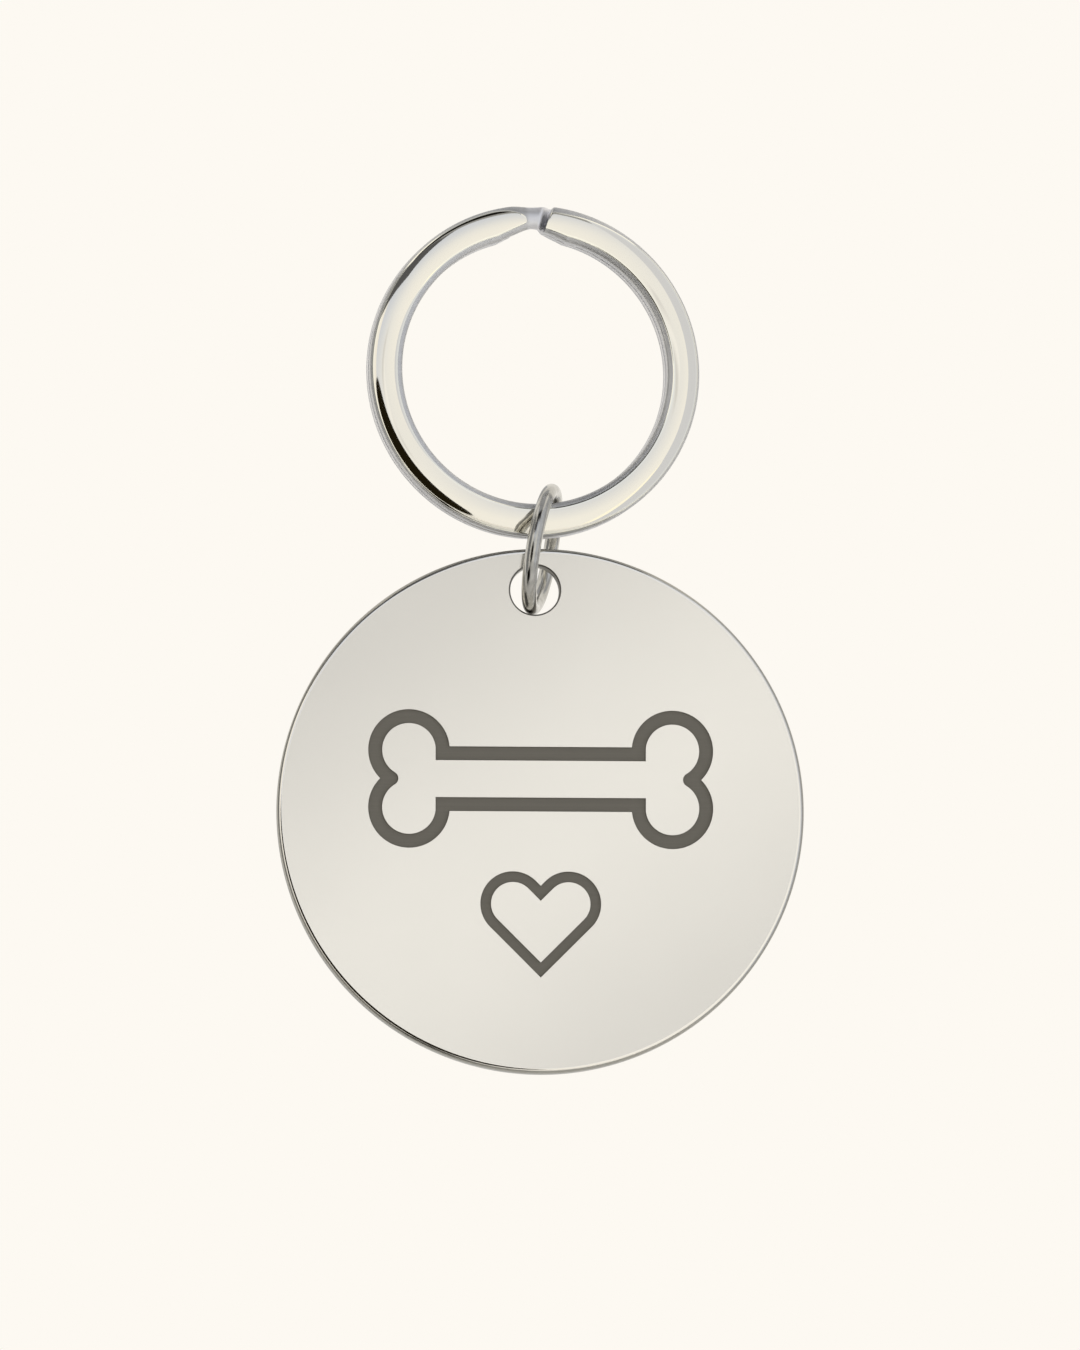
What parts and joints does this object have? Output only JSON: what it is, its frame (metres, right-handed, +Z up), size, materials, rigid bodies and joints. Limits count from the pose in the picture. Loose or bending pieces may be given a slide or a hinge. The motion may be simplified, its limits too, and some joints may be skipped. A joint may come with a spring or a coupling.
{
  "type": "pet id tag",
  "caption": "Round polished metal tag with an engraved bone and heart, hanging by a small jump ring from a flat-wire split ring that clips to a collar.",
  "frame": {"origin": "top of the split ring's bore, where the ring bears on the collar's loop", "axes": "+Z up along the hanging tag, -Y out of the tag's engraved front, +X to the right seen from the front"},
  "size_m": [0.032, 0.008, 0.0531],
  "materials": {
    "split_ring": "bright nickel plate on flat spring-steel wire",
    "jump_ring": "dark bright nickel plate on round steel wire",
    "tag": "polished stainless steel with dark laser-engraved lines"
  },
  "bodies": {
    "split_ring": {"split_ring": "split_ring"},
    "jump_ring": {"jump_ring": "jump_ring"},
    "tag": {"tag": "tag"}
  },
  "joints": [
    {"name": "ring_travel", "type": "hinge", "parent": "split_ring", "child": "jump_ring", "pos_m": [0, 0, -0.00817], "axis": [0.1132, -0.9936, 0], "continuous": true},
    {"name": "tag_swing", "type": "hinge", "parent": "jump_ring", "child": "tag", "pos_m": [0.00054, 0, -0.01906], "axis": [0.9668, -0.1792, -0.1822], "range_deg": [-55, 90]}
  ]
}
